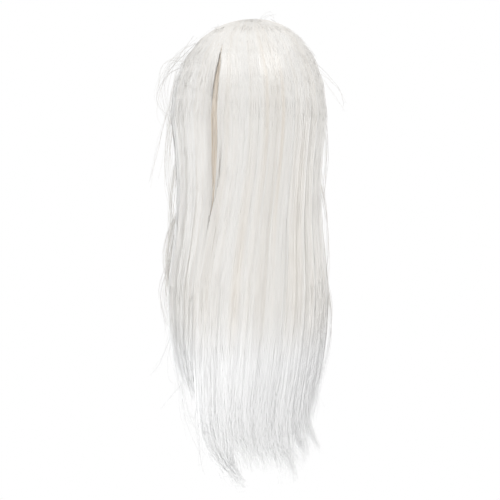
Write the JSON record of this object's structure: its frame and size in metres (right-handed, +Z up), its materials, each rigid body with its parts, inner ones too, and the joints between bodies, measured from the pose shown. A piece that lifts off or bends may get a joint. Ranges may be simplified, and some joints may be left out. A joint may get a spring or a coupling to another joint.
{
  "type": "long wig",
  "caption": "Long straight hair wig on an open net cap: a long back fall, two shorter side falls and a plain fringe, held up as a head holds it.",
  "frame": {"origin": "the point inside the cap where the top of the head touches it", "axes": "+Z up, the face looks along -Y, the wearer's left is +X"},
  "size_m": [0.2081, 0.2189, 0.5847],
  "materials": {
    "hair": "straight, silky, slightly glossy",
    "net": "matte net"
  },
  "bodies": {
    "root": {"cap": "net", "crown_whorl": "hair", "back_hair": "hair", "left_side_hair": "hair", "right_side_hair": "hair", "fringe": "hair"}
  },
  "joints": []
}
